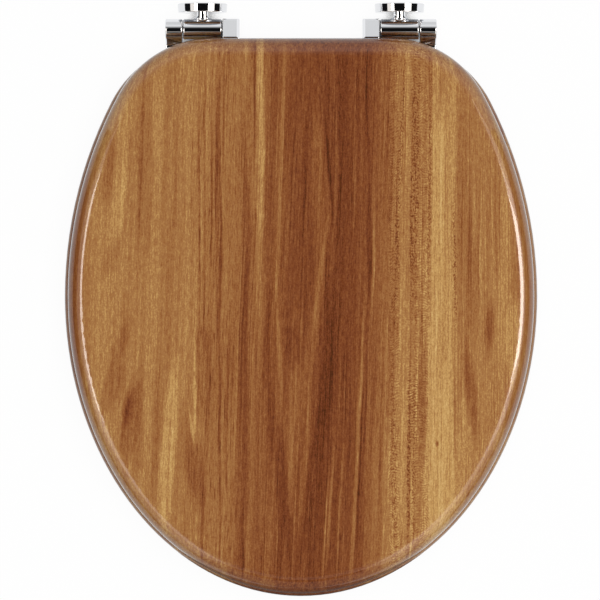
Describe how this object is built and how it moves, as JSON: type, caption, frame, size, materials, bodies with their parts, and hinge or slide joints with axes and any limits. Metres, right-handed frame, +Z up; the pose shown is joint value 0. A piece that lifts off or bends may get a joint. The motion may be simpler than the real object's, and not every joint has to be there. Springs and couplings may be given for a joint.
{
  "type": "toilet seat",
  "caption": "Oval toilet seat ring with a closed lid in glossy brown wood effect, on chrome barrel hinges with round foot discs laid back.",
  "frame": {"origin": "on the table under the middle of the whole seat", "axes": "+X to the right, +Y from the front tip to the hinges, +Z up out of the lid"},
  "size_m": [0.372, 0.466, 0.0471],
  "materials": {
    "wood_board": "brown wood-effect board under clear gloss lacquer",
    "chrome": "bright chrome plate on cast zinc",
    "buffer_rubber": "matt dark brown rubber",
    "pad_rubber": "soft grey rubber",
    "screw_steel": "zinc-plated steel",
    "pivot_steel": "ground steel",
    "damper_plastic": "off-white plastic",
    "washer_plastic": "black plastic"
  },
  "bodies": {
    "seat_body": {"seat_ring": "wood_board", "left_front_ring_buffer": "buffer_rubber", "right_front_ring_buffer": "buffer_rubber", "left_rear_ring_buffer": "buffer_rubber", "right_rear_ring_buffer": "buffer_rubber", "left_seat_leaf": "chrome", "right_seat_leaf": "chrome", "left_seat_leaf_screws": "screw_steel", "right_seat_leaf_screws": "screw_steel", "left_pivot_pin": "pivot_steel", "right_pivot_pin": "pivot_steel"},
    "lid_body": {"lid": "wood_board", "left_lid_buffer": "buffer_rubber", "right_lid_buffer": "buffer_rubber", "left_lid_leaf": "chrome", "right_lid_leaf": "chrome", "left_lid_leaf_screws": "screw_steel", "right_lid_leaf_screws": "screw_steel", "left_damper_shaft": "pivot_steel", "right_damper_shaft": "pivot_steel"},
    "left_post": {"left_hinge_post": "chrome", "left_foot_disc": "chrome", "left_foot_pad": "pad_rubber", "left_damper_body": "damper_plastic", "left_pivot_bush": "damper_plastic", "left_hinge_washers": "washer_plastic"},
    "right_post": {"right_hinge_post": "chrome", "right_foot_disc": "chrome", "right_foot_pad": "pad_rubber", "right_damper_body": "damper_plastic", "right_pivot_bush": "damper_plastic", "right_hinge_washers": "washer_plastic"}
  },
  "joints": [
    {"name": "lid_hinge", "type": "hinge", "parent": "seat_body", "child": "lid_body", "pos_m": [0, 0.213, 0.02], "axis": [-1, 0, 0], "range_deg": [0, 48]},
    {"name": "left_post_swing", "type": "hinge", "parent": "seat_body", "child": "left_post", "pos_m": [-0.0775, 0.213, 0.02], "axis": [-1, 0, 0], "range_deg": [-7, 90]},
    {"name": "right_post_swing", "type": "hinge", "parent": "seat_body", "child": "right_post", "pos_m": [0.0775, 0.213, 0.02], "axis": [-1, 0, 0], "range_deg": [-7, 90]}
  ]
}
